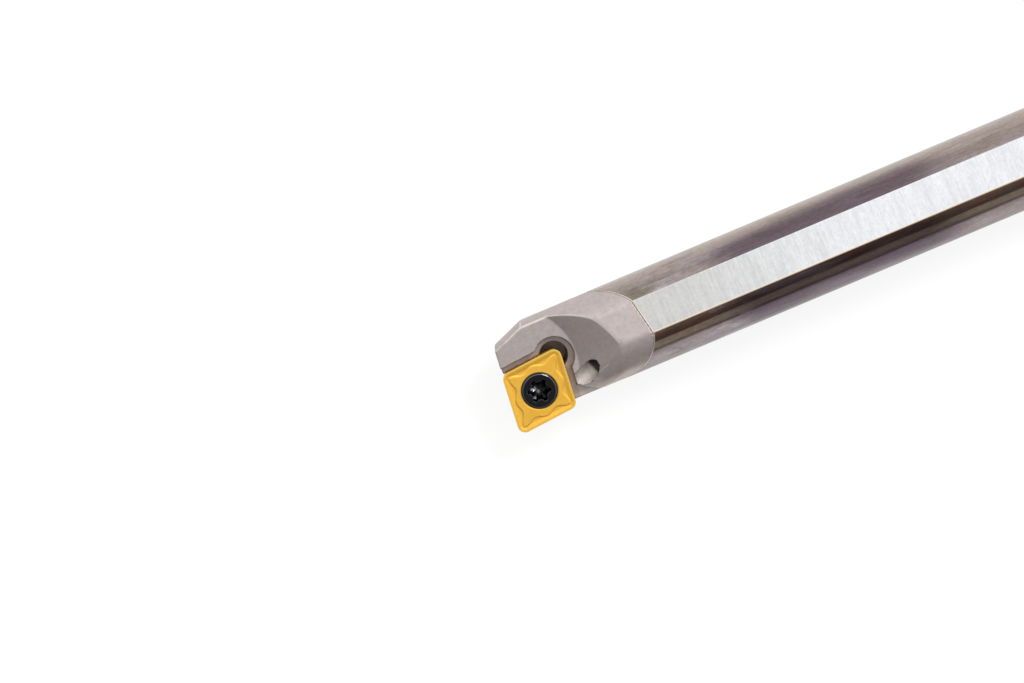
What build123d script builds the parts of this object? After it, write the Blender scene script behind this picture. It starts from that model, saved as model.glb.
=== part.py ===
"""Indexable boring bar: a carbide shank brazed to a steel head that carries one 80 degree insert.

Frame: the origin is the centre of the shank's rear end face. +X runs along the bar axis to the
cutting tip, +Y is the cutting side and +Z is up, square to the clamping flats. Millimetres.
"""

import os
from math import atan2, cos, degrees, radians, sin, tan

from build123d import *

# Bar
overall_length = 152.4
shank_diameter = 9.525
flat_depth = 0.36
rear_chamfer = 0.6
coolant_bore_diameter = 3.2
coolant_well_depth = 1.2

# Brazed vee joint between shank and head
ridge_setback = 11.6
vee_angle = 90.0
vee_roll = 11.4
braze_gap = 0.08

# Indexable insert
inscribed_circle = 6.35
insert_thickness = 2.38
corner_angle = 80.0
corner_radius = 0.8
flank_relief = 7.0
insert_bore_diameter = 2.8
countersink_mouth = 3.87
countersink_angle = 60.0

# Chip groove pressed into the rake face
rim_land = 0.15
groove_slope_width = 0.4
groove_depth = 0.13
island_drop = 0.02
island_inset = 0.82
island_wave = 0.19
island_wall_run = 0.12

# Where the insert sits
tip_offset = 5.95
radial_rake = 15.0
seat_gap = 0.01

# Head around the insert
head_relief_angle = 0.1
nose_length = 4.45
nose_angle = 21.5
nose_offset = 0.8
face_setback = 0.1
land_rise = 0.05
gullet_radius = 6.9
gullet_centre_back = 1.4
gullet_centre_in = 6.0
gullet_ramp = 35.2
ledge_drop = 0.8
ledge_width = 0.6
rear_wall_length = 5.1
exit_angle = 30.0
relief_radius = 1.44
relief_inset = 1.19
relief_depth = 0.35

# Coolant outlet
outlet_diameter = 1.84
outlet_back = 8.67
outlet_in = 3.35
outlet_rise = 0.54
outlet_plan_angle = 20.0
outlet_dive = 5.0

# Insert screw
screw_diameter = 2.5
screw_length = 4.5
screw_gap = 0.015
head_recess = 0.03
head_bevel_width = 0.28
head_bevel_height = 0.1
lobe_across_points = 2.4
lobe_across_flats = 1.75
lobe_hollow_radius = 0.51
lobe_depth = 0.95
screw_tip_chamfer = 0.3

# Cutting tools are this much larger than what they cut
far = 30.0

bar_radius = shank_diameter / 2
flat_height = shank_diameter - 2 * flat_depth
half_corner = radians(corner_angle / 2)
edge_lean = (90.0 - corner_angle) / 2
diagonal = cos(radians(45))
sharp_reach = corner_radius / sin(half_corner) * diagonal - corner_radius
centre_back = inscribed_circle / 2 / sin(half_corner) * diagonal - sharp_reach
hole_flare = tan(radians(countersink_angle / 2))
ridge = overall_length - ridge_setback
on_foot = (Align.CENTER, Align.CENTER, Align.MIN)
under_top = (Align.CENTER, Align.CENTER, Align.MAX)


def rake_plane(height=0.0):
    """Plane parallel to the rake face, above it by height, with its origin at the tip's gauge point."""
    normal = Vector(0, sin(radians(radial_rake)), cos(radians(radial_rake)))
    tip = Vector(overall_length, tip_offset, 0)
    return Plane(origin=tip + normal * height, x_dir=(1, 0, 0), z_dir=normal)


def insert_place(height=0.0):
    """Where the insert's centre lies on the rake plane, turned so that +X points at the cutting corner."""
    return rake_plane(height).location * Pos(-centre_back, -centre_back, 0) * Rot(0, 0, 45)


def bar_blank(start, end):
    """Round bar with a clamping flat above and below, from start to end along the axis."""
    profile = Circle(bar_radius) & Rectangle(2 * bar_radius, flat_height)
    return extrude(Plane.YZ.offset(start) * profile, end - start)


def head_blank():
    """Round stock of the head and its braze, relieved by a hair towards the tip, with the bar's clamping flats."""
    start = ridge - shank_diameter
    length = overall_length + 1 - start
    tip_radius = bar_radius - length * tan(radians(head_relief_angle))
    stock = Cone(bar_radius, tip_radius, length, align=on_foot)
    between_flats = Box(2 * shank_diameter, flat_height, length, align=on_foot)
    return Plane.YZ.offset(start).location * (stock & between_flats)


def vee_wedge(shift):
    """All that lies behind the vee joint's two faces, which are moved forward by shift, square to them."""
    half = radians(vee_angle / 2)
    point = Vector(ridge + shift / sin(half), 0)
    spread = far * tan(half)
    outline = Polyline(point, point + Vector(-far, spread), point + Vector(-far, -spread), close=True)
    prism = extrude(Plane.XZ * make_face(outline), far, both=True)
    return Rot(-vee_roll, 0, 0) * prism


def vee_body(shift):
    """The wedge with the whole shank behind it."""
    behind = ridge - far / 2
    block = Pos(behind / 2, 0, 0) * Box(behind, far, far)
    return vee_wedge(shift) + block


def coolant_bore():
    """Bore along the axis, open at the rear end and closed a little way into the head."""
    length = ridge + coolant_well_depth
    return Plane.YZ.location * Cylinder(coolant_bore_diameter / 2, length, align=on_foot)


def make_shank():
    """Carbide bar with a roof-shaped front end and a coolant bore from end to end."""
    rear_radius = bar_radius - rear_chamfer
    rear_cone = Plane.YZ.location * Cone(rear_radius, rear_radius + far, far, align=on_foot)
    rear = bar_blank(0, far) & rear_cone
    blank = rear + bar_blank(far, ridge)
    return (blank & vee_body(0)) - coolant_bore()


def make_braze_seam():
    """Thin vee of braze metal between the shank and the head."""
    return (head_blank() & vee_body(braze_gap)) - vee_body(0) - coolant_bore()


def rhombus(circle):
    """Rhombus around an inscribed circle, long diagonal along X."""
    long_half = circle / 2 / sin(half_corner)
    short_half = circle / 2 / cos(half_corner)
    corners = ((long_half, 0), (0, short_half), (-long_half, 0), (0, -short_half))
    return make_face(Polyline(*corners, close=True))


def rounded_rhombus(circle, radius):
    face = rhombus(circle)
    return fillet(face.vertices(), radius)


def island_outline(inset):
    """Wavy outline of the raised middle: each side swells outwards at its middle and at its corners."""
    long_half = (inscribed_circle / 2 - inset) / sin(half_corner)
    short_half = (inscribed_circle / 2 - inset) / cos(half_corner)
    corners = [Vector(long_half, 0), Vector(0, short_half), Vector(-long_half, 0), Vector(0, -short_half)]
    steps = (0.06, 0.26, 0.5, 0.74, 0.94)
    points = []
    for corner, following in zip(corners, corners[1:] + corners[:1]):
        along = following - corner
        outward = Vector(along.Y, -along.X).normalized()
        for step in steps:
            swell = island_wave * cos(4 * radians(180) * (step - 0.5))
            points.append(corner + along * step + outward * swell)
    return make_face(Spline(*points, periodic=True))


def make_insert():
    """80 degree insert with a 7 degree flank all round, a chip groove and a countersunk hole."""
    top = rounded_rhombus(inscribed_circle, corner_radius)
    body = extrude(top, -insert_thickness, taper=flank_relief)
    groove_circle = inscribed_circle - 2 * rim_land
    groove_face = rounded_rhombus(groove_circle, corner_radius - rim_land / 2)
    groove_taper = degrees(atan2(groove_slope_width, groove_depth))
    body -= extrude(groove_face, -groove_depth, taper=groove_taper)
    foot = Pos(0, 0, -groove_depth) * island_outline(island_inset - island_wall_run)
    crest = Pos(0, 0, -island_drop) * island_outline(island_inset)
    body += loft([foot, crest], ruled=True)
    body -= Cylinder(insert_bore_diameter / 2, 3 * insert_thickness)
    sink_depth = (countersink_mouth - insert_bore_diameter) / 2 / hole_flare
    countersink = Cone(insert_bore_diameter / 2, countersink_mouth / 2, sink_depth, align=under_top)
    body -= Pos(0, 0, -island_drop) * countersink
    return insert_place() * body


def turned_nose():
    """Cone that tapers the head's front, set off-centre so that it leaves the cutting side whole."""
    start = overall_length - nose_length - far
    slope = tan(radians(nose_angle))
    rear_radius = bar_radius + nose_offset + far * slope
    length = far + nose_length + 1
    cone = Cone(rear_radius, rear_radius - length * slope, length, align=on_foot)
    return Plane.YZ.offset(start).location * Pos(nose_offset, 0, 0) * cone


def front_face():
    """Plane of the head's front face, just behind the insert's leading flank and parallel to it."""
    lean = radians(edge_lean)
    relief = radians(flank_relief)
    normal = Vector(cos(lean) * cos(relief), -sin(lean) * cos(relief), -sin(relief))
    corner = Vector(sharp_reach, sharp_reach, 0) - normal * face_setback
    place = rake_plane()
    ahead = place.from_local_coords(normal) - place.origin
    return Plane(origin=place.from_local_coords(corner), z_dir=ahead)


def gullet():
    """Land beside the insert and the conical ramp that rises from it to the bar's surface."""
    height = 2 * bar_radius
    growth = height / tan(radians(gullet_ramp))
    cone = Cone(gullet_radius, gullet_radius + growth, height, align=on_foot)
    return rake_plane(land_rise).location * Pos(-gullet_centre_back, -gullet_centre_in, 0) * cone


def pocket_corner(width):
    """Corner of the pocket's two walls and the ends of those walls, width outside the insert's sides."""
    circle = inscribed_circle + 2 * width
    turn = Rot(0, 0, 45)
    middle = Vector(-centre_back, -centre_back, 0)
    corner = (turn * Pos(-circle / 2 / sin(half_corner), 0, 0)).position + middle
    front = (turn * Pos(0, -circle / 2 / cos(half_corner), 0)).position + middle
    outer = (turn * Pos(0, circle / 2 / cos(half_corner), 0)).position + middle
    return corner, (front - corner).normalized(), (outer - corner).normalized()


def seat():
    """Pocket that the insert drops into: a floor and two walls that follow its flanks."""
    corner, forward, outward = pocket_corner(seat_gap)
    ahead = forward * 2 * inscribed_circle
    aside = outward * 2 * inscribed_circle
    outline = Polyline(corner, corner + ahead, corner + ahead + aside, corner + aside, close=True)
    pocket = extrude(make_face(outline), -insert_thickness, taper=flank_relief)
    return rake_plane().location * pocket


def relief_centre():
    corner, _, _ = pocket_corner(0)
    return corner + Vector(diagonal, diagonal, 0) * relief_inset


def corner_relief():
    """Round relief in the pocket's corner, a little deeper than the floor."""
    depth = insert_thickness + relief_depth
    hole = Cylinder(relief_radius, depth, align=under_top)
    return rake_plane().location * Pos(relief_centre()) * hole


def exit_start():
    """Where the ledge's rear wall turns off towards the cutting side."""
    corner, _, outward = pocket_corner(ledge_width)
    return corner + outward * rear_wall_length


def ledge():
    """Step between the land and the seat: it follows the walls, rounds the relief and runs out sideways."""
    corner, forward, outward = pocket_corner(ledge_width)
    centre = relief_centre()
    beside_relief = (centre - corner).dot(forward)
    exit_turn = radians(exit_angle)
    exit_end = exit_start() + Vector(-cos(exit_turn), sin(exit_turn), 0) * far
    front = corner + forward * far
    points = (
        centre,
        corner + forward * beside_relief,
        front,
        front + Vector(0, far, 0),
        exit_end,
        exit_start(),
        corner + outward * beside_relief,
    )
    outline = make_face(Polyline(*points, close=True)) + Pos(centre) * Circle(relief_radius + ledge_width)
    return rake_plane(-ledge_drop).location * extrude(outline, far)


def exit_ramp():
    """Flat ramp that rises from the ledge's way out to the bar's side, as steep as the gullet."""
    foot = rake_plane(land_rise).location * Pos(exit_start()) * Rot(0, 0, 180 - exit_angle)
    block = foot * Rot(gullet_ramp, 0, 0) * Box(far, far, far, align=on_foot)
    above_land = foot * Box(2 * far, 2 * far, far, align=on_foot)
    return block & above_land


def outlet():
    """Inclined coolant hole, aimed at the insert, that opens into the gullet and the pocket's wall."""
    start = rake_plane().location * Pos(-outlet_back, -outlet_in, outlet_rise)
    aim = start * Rot(0, 0, 180 + outlet_plan_angle) * Rot(0, 90 + outlet_dive, 0)
    back = Cylinder(outlet_diameter / 2, ridge_setback + bar_radius - outlet_back, align=on_foot)
    forward = Cylinder(outlet_diameter / 2, outlet_back, align=under_top)
    return aim * (back + forward)


def screw_hole():
    return insert_place() * Cylinder(screw_diameter / 2, far, align=under_top)


def make_head():
    """Steel head: vee notch, clamping flats, turned nose, insert pocket, chip gullet and coolant outlet."""
    head = head_blank() - vee_body(braze_gap) - coolant_bore()
    head &= turned_nose()
    head = split(head, bisect_by=front_face(), keep=Keep.BOTTOM)
    head -= gullet()
    head -= exit_ramp()
    head -= ledge()
    head -= seat()
    head -= corner_relief()
    head -= screw_hole()
    head -= outlet()
    return head


def make_screw():
    """Countersunk insert screw with a six-lobed recess."""
    top_radius = countersink_mouth / 2 - (head_recess - island_drop) * hole_flare - screw_gap
    cone_height = (top_radius - screw_diameter / 2) / hole_flare
    head_cone = Cone(screw_diameter / 2, top_radius, cone_height, align=under_top)
    head_cone = chamfer(head_cone.edges().sort_by(Axis.Z)[-1], head_bevel_height, head_bevel_width)
    shaft = Cylinder(screw_diameter / 2 - screw_gap, screw_length, align=under_top)
    screw = head_cone + chamfer(shaft.edges().sort_by(Axis.Z)[0], screw_tip_chamfer)
    hollow_place = lobe_across_flats / 2 + lobe_hollow_radius
    lobes = Circle(lobe_across_points / 2)
    for index in range(6):
        lobes -= Rot(0, 0, 60 * index + 30) * Pos(hollow_place, 0) * Circle(lobe_hollow_radius)
    screw -= extrude(lobes, -lobe_depth)
    return insert_place(-head_recess) * screw


def main():
    os.makedirs("parts", exist_ok=True)
    nodes = {
        "shank": make_shank(),
        "braze_seam": make_braze_seam(),
        "head": make_head(),
        "insert": make_insert(),
        "insert_screw": make_screw(),
    }
    for name, shape in nodes.items():
        export_step(shape, f"parts/{name}.step")


main()
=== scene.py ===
"""Visual model of an indexable boring bar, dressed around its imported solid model.

A ground carbide shank is brazed to a blasted steel head, which carries a coated insert on a black screw.
Lengths are in millimetres in the row frame until a mesh is made, when MM turns them into metres.
"""

import logging
import math
from dataclasses import dataclass
from enum import Enum
from functools import reduce
from typing import Optional, Sequence, Union

import bmesh
import bpy
import numpy as np
from mathutils import Matrix, Vector
from mathutils.bvhtree import BVHTree


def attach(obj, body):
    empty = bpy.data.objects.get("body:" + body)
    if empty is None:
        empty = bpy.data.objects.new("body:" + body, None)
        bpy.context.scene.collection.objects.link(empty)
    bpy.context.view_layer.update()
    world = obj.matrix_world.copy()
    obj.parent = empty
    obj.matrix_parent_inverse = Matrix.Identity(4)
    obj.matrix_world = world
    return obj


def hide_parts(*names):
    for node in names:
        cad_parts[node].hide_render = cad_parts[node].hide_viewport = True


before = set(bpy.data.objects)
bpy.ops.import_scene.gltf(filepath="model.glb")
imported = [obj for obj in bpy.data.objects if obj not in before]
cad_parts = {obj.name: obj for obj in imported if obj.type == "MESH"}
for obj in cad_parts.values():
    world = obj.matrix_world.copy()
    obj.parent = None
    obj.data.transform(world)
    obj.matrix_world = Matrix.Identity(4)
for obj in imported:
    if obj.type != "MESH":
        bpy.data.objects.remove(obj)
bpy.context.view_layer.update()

MM = 0.001
ROOT = "root"

logging.basicConfig(level=logging.INFO, format="%(name)s: %(message)s")
log = logging.getLogger("boring_bar")

Pair = tuple[float, float]
Triple = tuple[float, float, float]
Colour = Triple
Window = tuple[float, float, float, float]
Levels = tuple[float, float, float, float]
Stops = tuple[tuple[float, Colour], ...]
Rows = Sequence[tuple[Union[float, np.ndarray], Union[float, np.ndarray]]]
Socket = bpy.types.NodeSocket
Value = Union[float, Sequence[float], Socket]


class Slot(Enum):
    """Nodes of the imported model, which are also the names of its material slots."""

    SHANK = "shank"
    BRAZE = "braze_seam"
    HEAD = "head"
    INSERT = "insert"
    SCREW = "insert_screw"


class Ends(Enum):
    """How the first and last ring of a ring mesh are closed."""

    JOINED = "joined"
    POLES = "poles"


@dataclass(frozen=True)
class Bar:
    """Shared sizes of the bar and of the insert that lies in its raked pocket."""

    length: float = 152.4
    radius: float = 4.7625
    flat_half: float = 4.4025
    bore_radius: float = 1.6
    tip_offset: float = 5.95
    rake: float = math.radians(15)
    inscribed: float = 6.35
    corner_radius: float = 0.8
    half_corner: float = math.radians(40)

    def insert_place(self, height: float = 0.0) -> Matrix:
        """Place of the insert's centre on its rake face, with +X at the cutting corner.

        Args:
            height: distance above the rake face.

        Returns:
            The matrix from the insert's own millimetres to the row frame in millimetres.
        """
        sharp = self.corner_radius / math.sin(self.half_corner) * math.sqrt(0.5)
        centre = self.inscribed / 2 / math.sin(self.half_corner) * math.sqrt(0.5) - sharp + self.corner_radius
        tilt = Matrix.Translation((self.length, self.tip_offset, 0)) @ Matrix.Rotation(-self.rake, 4, "X")
        return tilt @ Matrix.Translation((-centre, -centre, height)) @ Matrix.Rotation(math.radians(45), 4, "Z")

    def inside_insert(self, points: np.ndarray) -> np.ndarray:
        """Distance of points inside the insert's rounded outline.

        Args:
            points: X and Y in the insert's own millimetres.

        Returns:
            One distance for each point, below zero outside the outline.
        """
        half, radius = self.half_corner, self.corner_radius
        core = self.inscribed / 2 - radius
        first = np.array([core / math.sin(half), 0.0])
        along = np.array([0.0, core / math.cos(half)]) - first
        folded = np.abs(points)
        share = np.clip((folded - first) @ along / (along @ along), 0, 1)
        gap = np.linalg.norm(folded - first - share[:, None] * along, axis=1)
        reach = folded @ np.array([math.sin(half), math.cos(half)])
        return radius - np.where(reach > core, gap, reach - core)


BAR = Bar()


# ---------------------------------------------------------------- meshes


def smooth_step(value: np.ndarray, low: float, high: float) -> np.ndarray:
    """0 below low, 1 above high and an S curve between them."""
    share = np.clip((value - low) / (high - low), 0, 1)
    return share * share * (3 - 2 * share)


def fade_out(value: np.ndarray, low: float, high: float, start: float = 1.0) -> np.ndarray:
    """Start below low, 0 above high and an S curve between them."""
    return start * (1 - smooth_step(value, low, high))


def smooth_min(values: Sequence[np.ndarray], blend: float) -> np.ndarray:
    """Smallest of several arrays, rounded over where two of them are close.

    Args:
        values: arrays of the same shape.
        blend: difference up to which two values are blended.

    Returns:
        An array of the same shape.
    """
    stack = np.stack(values)
    least = stack.min(axis=0)
    return least - blend * np.log(np.exp(-(stack - least) / blend).sum(axis=0))


def lathe(rows: Rows, angles: np.ndarray) -> np.ndarray:
    """Rings round the Z axis.

    Args:
        rows: radius and level of each ring, each a number or one value for each direction.
        angles: directions of a ring's points.

    Returns:
        Array of rings, points and coordinates.
    """
    across, beside, whole = np.cos(angles), np.sin(angles), np.ones_like(angles)
    rings = [(radius * across, radius * beside, level * whole) for radius, level in rows]
    return np.stack([np.stack(ring, axis=1) for ring in rings])


def in_metres(place: Matrix) -> Matrix:
    """The same placement for lengths in metres."""
    return Matrix.Scale(MM, 4) @ place @ Matrix.Scale(1 / MM, 4)


def ring_mesh(name: str, rings: np.ndarray, ends: Ends, place: Optional[Matrix] = None) -> bpy.types.Object:
    """Skin over a stack of closed rings that all have the same number of points.

    Args:
        name: name of the new object.
        rings: array of rings, points and coordinates, in millimetres.
        ends: whether the last ring joins the first, or each end closes in a pole.
        place: matrix from the rings' millimetres to the row frame's millimetres.

    Returns:
        The new object, with its mesh in metres and its faces outwards.
    """
    count, around = rings.shape[:2]
    points = rings.reshape(-1, 3)
    loops = np.arange(count * around).reshape(count, around)
    rows = count if ends is Ends.JOINED else count - 1
    faces = []
    for row in range(rows):
        low, high = loops[row], loops[(row + 1) % count]
        faces += np.stack([low, np.roll(low, -1), np.roll(high, -1), high], axis=1).tolist()
    if ends is Ends.POLES:
        points = np.vstack([points, rings[0].mean(axis=0), rings[-1].mean(axis=0)])
        first, last = len(points) - 2, len(points) - 1
        faces += [[first, loops[0][(i + 1) % around], loops[0][i]] for i in range(around)]
        faces += [[last, loops[-1][i], loops[-1][(i + 1) % around]] for i in range(around)]
    mesh = bpy.data.meshes.new(name)
    mesh.from_pydata((points * MM).tolist(), [], faces)
    if place is not None:
        mesh.transform(in_metres(place))
    return finished_object(name, mesh)


def finished_object(name: str, mesh: bpy.types.Mesh, sharp_angle: float = math.radians(32)) -> bpy.types.Object:
    """Object at the origin around a mesh whose faces are turned outwards and shaded smooth.

    Args:
        name: name of the new object.
        mesh: mesh in the row frame, in metres.
        sharp_angle: edges sharper than this stay crisp.

    Returns:
        The new object.
    """
    work = bmesh.new()
    work.from_mesh(mesh)
    bmesh.ops.remove_doubles(work, verts=work.verts, dist=1e-7)
    bmesh.ops.recalc_face_normals(work, faces=work.faces)
    work.to_mesh(mesh)
    work.free()
    mesh.polygons.foreach_set("use_smooth", [True] * len(mesh.polygons))
    mesh.set_sharp_from_angle(angle=sharp_angle)
    return carrier(name, mesh)


def carrier(name: str, mesh: bpy.types.Mesh) -> bpy.types.Object:
    """New object at the origin around a mesh.

    Args:
        name: name of the object.
        mesh: mesh that it carries.

    Returns:
        The object, linked to the scene.
    """
    piece = bpy.data.objects.new(name, mesh)
    bpy.context.scene.collection.objects.link(piece)
    return piece


def baked(piece: bpy.types.Object) -> bpy.types.Mesh:
    """Plain mesh of an object with its modifiers applied.

    Args:
        piece: object with modifiers, which is removed.

    Returns:
        The new mesh.
    """
    seen = piece.evaluated_get(bpy.context.evaluated_depsgraph_get())
    mesh = bpy.data.meshes.new_from_object(seen)
    piece.modifiers.clear()
    bpy.data.objects.remove(piece)
    return mesh


def triples(items: bpy.types.bpy_prop_collection, key: str) -> np.ndarray:
    """Vectors of a mesh's vertices or normals.

    Args:
        items: collection of the mesh.
        key: name of the vector in each item.

    Returns:
        One row for each item.
    """
    values = np.empty(len(items) * 3, dtype=np.float32)
    items.foreach_get(key, values)
    return values.reshape(-1, 3).astype(float)


def own_spots(mesh: bpy.types.Mesh, place: Matrix) -> np.ndarray:
    """Points of a placed mesh in its piece's own millimetres.

    Args:
        mesh: mesh in the row frame, in metres.
        place: matrix from the piece's own millimetres to the row frame in millimetres.

    Returns:
        One row for each vertex.
    """
    back = (Matrix.Scale(MM, 4) @ place).inverted()
    return np.array([back @ vertex.co for vertex in mesh.vertices])


def paint(mesh: bpy.types.Mesh, name: str, values: np.ndarray) -> None:
    """Give a mesh an attribute that its material reads.

    Args:
        mesh: mesh that gets it.
        name: name of the attribute.
        values: one share for each vertex, held between 0 and 1.
    """
    layer = mesh.attributes.new(name, "FLOAT", "POINT")
    layer.data.foreach_set("value", np.clip(values, 0, 1).astype(np.float32))


def settle(piece: bpy.types.Object, slot: Slot, material: bpy.types.Material) -> None:
    """Dress a finished piece and let it stand for its node.

    Args:
        piece: finished piece at the origin.
        slot: node that it replaces.
        material: its finish.
    """
    piece.data.materials.clear()
    piece.data.materials.append(material)
    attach(piece, ROOT)
    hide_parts(slot.value)
    log.info("%s: %d faces", piece.name, len(piece.data.polygons))


# ---------------------------------------------------------------- node trees


class Graph:
    """Short calls for building a node tree."""

    def __init__(self, tree: bpy.types.NodeTree) -> None:
        """Start with an empty tree."""
        self.tree = tree
        tree.nodes.clear()

    def add(self, kind: str, settings: Optional[dict[str, object]] = None, **inputs: object) -> bpy.types.Node:
        """Add a node.

        Args:
            kind: Blender's type name of the node.
            settings: the node's own properties.
            inputs: sockets by name with underscores for blanks, or by number as i0, i1 and so on.

        Returns:
            The new node.
        """
        node = self.tree.nodes.new(kind)
        for key, value in (settings or {}).items():
            setattr(node, key, value)
        for key, value in inputs.items():
            numbered = key[0] == "i" and key[1:].isdigit()
            socket = node.inputs[int(key[1:])] if numbered else node.inputs[key.replace("_", " ")]
            self.feed(value, socket)
        return node

    def feed(self, value: object, socket: Socket) -> None:
        """Link a socket to another socket or set its value.

        Args:
            value: an output, a colour or another value that the socket takes.
            socket: input that it goes to.
        """
        if isinstance(value, bpy.types.NodeSocket):
            self.tree.links.new(value, socket)
        elif socket.type == "RGBA":
            socket.default_value = (*value[:3], 1.0)
        else:
            socket.default_value = value

    def math(self, operation: str, first: Value, second: Value = 0.0) -> Socket:
        """Result of a Math node on two values."""
        return self.add("ShaderNodeMath", {"operation": operation}, i0=first, i1=second).outputs[0]

    def product(self, *values: Value) -> Socket:
        """Product of two or more values."""
        return reduce(lambda total, value: self.math("MULTIPLY", total, value), values)

    def span(self, value: Value, low: float, high: float, start: float = 0.0, end: float = 1.0) -> Socket:
        """Smooth step of a value from low to high, mapped from start to end."""
        settings = {"interpolation_type": "SMOOTHSTEP"}
        return self.add("ShaderNodeMapRange", settings, i0=value, i1=low, i2=high, i3=start, i4=end).outputs[0]

    def fade(self, value: Value, low: float, high: float, start: float = 1.0) -> Socket:
        """Smooth step of a value down from start at low to nothing at high."""
        return self.span(value, low, high, start, 0.0)

    def window(self, value: Value, places: Window) -> Socket:
        """Mask that fades in over the first two of four places and out over the last two."""
        return self.product(self.span(value, *places[:2]), self.fade(value, *places[2:]))

    def mix(self, share: Value, first: Value, second: Value, mode: str = "MIX") -> Socket:
        """Colour mix of two colours by a share."""
        settings = {"data_type": "RGBA", "blend_type": mode}
        return self.add("ShaderNodeMix", settings, i0=share, i6=first, i7=second).outputs[2]

    def tinted(self, share: Value, colour: Value, tint: Colour) -> Socket:
        """Colour that is multiplied by a tint over a share of the surface."""
        return self.mix(share, colour, self.mix(1.0, colour, tint, "MULTIPLY"))

    def shaded(self, colour: Value, shade: Socket) -> Socket:
        """Colour times a grey shade."""
        grey = self.add("ShaderNodeCombineColor", None, Red=shade, Green=shade, Blue=shade).outputs[0]
        return self.mix(1.0, colour, grey, "MULTIPLY")

    def ramp(self, value: Value, stops: Stops) -> Socket:
        """Colour ramp.

        Args:
            value: position along the ramp.
            stops: position and colour of each stop.

        Returns:
            The colour.
        """
        node = self.add("ShaderNodeValToRGB", None, i0=value)
        elements = node.color_ramp.elements
        for index, (position, colour) in enumerate(stops):
            element = elements[index] if index < 2 else elements.new(position)
            element.position = position
            element.color = (*colour, 1.0)
        return node.outputs[0]

    def millimetres(self, stretch: Triple = (1.0, 1.0, 1.0)) -> Socket:
        """Object coordinates in millimetres, each axis times its own stretch."""
        here = self.add("ShaderNodeTexCoord").outputs["Object"]
        return self.add("ShaderNodeMapping", None, Vector=here, Scale=[part / MM for part in stretch]).outputs[0]

    def split(self, vector: Socket) -> Sequence[Socket]:
        """X, Y and Z of a vector."""
        return self.add("ShaderNodeSeparateXYZ", None, i0=vector).outputs

    def painted(self, name: str) -> Socket:
        """Share that is painted on the mesh."""
        return self.add("ShaderNodeAttribute", {"attribute_name": name}).outputs["Fac"]

    def noise(self, vector: Socket, scale: Value, detail: float = 3.0, rough: float = 0.5) -> Socket:
        """Noise value at a vector."""
        inputs = {"Vector": vector, "Scale": scale, "Detail": detail, "Roughness": rough}
        return self.add("ShaderNodeTexNoise", None, **inputs).outputs[0]


class SurfaceGroup(Enum):
    """Shader node groups that several finishes share."""

    GRAIN = "surface_grain"
    LINES = "grinding_lines"
    SMUDGE = "handling_smudge"

    def tree(self) -> bpy.types.NodeTree:
        """The group's tree, built the first time that it is asked for."""
        found = bpy.data.node_groups.get(self.value)
        return found or GROUP_BUILDERS[self]()

    def place(self, graph: Graph, **inputs: Value) -> Sequence[Socket]:
        """Add the group to a material's graph.

        Args:
            graph: graph of the material.
            inputs: the group's inputs by name.

        Returns:
            The group's outputs.
        """
        node = graph.add("ShaderNodeGroup", {"node_tree": self.tree()})
        for key, value in inputs.items():
            graph.feed(value, node.inputs[key])
        return node.outputs


def new_group(
    group: SurfaceGroup, inputs: dict[str, float], outputs: Sequence[str]
) -> tuple[Graph, Sequence[Socket]]:
    """Empty shader group with a Position input and its other sockets.

    Args:
        group: group that is built.
        inputs: names and first values of its float inputs.
        outputs: names of its float outputs.

    Returns:
        The group's graph and its inputs.
    """
    tree = bpy.data.node_groups.new(group.value, "ShaderNodeTree")
    tree.interface.new_socket("Position", in_out="INPUT", socket_type="NodeSocketVector")
    for label, value in inputs.items():
        socket = tree.interface.new_socket(label, in_out="INPUT", socket_type="NodeSocketFloat")
        socket.default_value = value
    for label in outputs:
        tree.interface.new_socket(label, in_out="OUTPUT", socket_type="NodeSocketFloat")
    graph = Graph(tree)
    return graph, graph.add("NodeGroupInput").outputs


def grain_group(coarse_scale: float = 0.18, fine_share: float = 0.6) -> bpy.types.NodeTree:
    """Fine pitted grain: Tone varies round 0.5 and Height is for a Bump node.

    Args:
        coarse_scale: scale of the coarse grain as a share of the fine one's.
        fine_share: weight of the fine grain in the tone.

    Returns:
        The group's tree.
    """
    graph, start = new_group(SurfaceGroup.GRAIN, {"Size": 0.1}, ("Tone", "Height"))
    scale = graph.math("DIVIDE", 1.0, start["Size"])
    fine = graph.noise(start["Position"], scale, 2.0, 0.6)
    coarse = graph.noise(start["Position"], graph.product(scale, coarse_scale), 2.0)
    tone = graph.math("ADD", graph.product(fine, fine_share), graph.product(coarse, 1 - fine_share))
    graph.add("NodeGroupOutput", None, Tone=tone, Height=fine)
    return graph.tree


def lines_group(broad_scale: float = 0.17, fine_share: float = 0.55) -> bpy.types.NodeTree:
    """Fine parallel scratches that the X axis crosses.

    Args:
        broad_scale: scale of the broad lines as a share of the fine ones'.
        fine_share: weight of the fine lines in the tone.

    Returns:
        The group's tree.
    """
    graph, start = new_group(SurfaceGroup.LINES, {"Pitch": 0.08, "Reach": 3.0}, ("Tone", "Height"))
    across = graph.math("DIVIDE", 1.0, start["Pitch"])
    along = graph.math("DIVIDE", 1.0, start["Reach"])
    stretch = graph.add("ShaderNodeCombineXYZ", None, X=across, Y=along, Z=along).outputs[0]
    settings = {"operation": "MULTIPLY"}
    stretched = graph.add("ShaderNodeVectorMath", settings, i0=start["Position"], i1=stretch).outputs[0]
    fine = graph.noise(stretched, 1.0, 2.0, 0.7)
    broad = graph.noise(stretched, broad_scale, 2.0)
    tone = graph.math("ADD", graph.product(fine, fine_share), graph.product(broad, 1 - fine_share))
    graph.add("NodeGroupOutput", None, Tone=tone, Height=fine)
    return graph.tree


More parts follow.
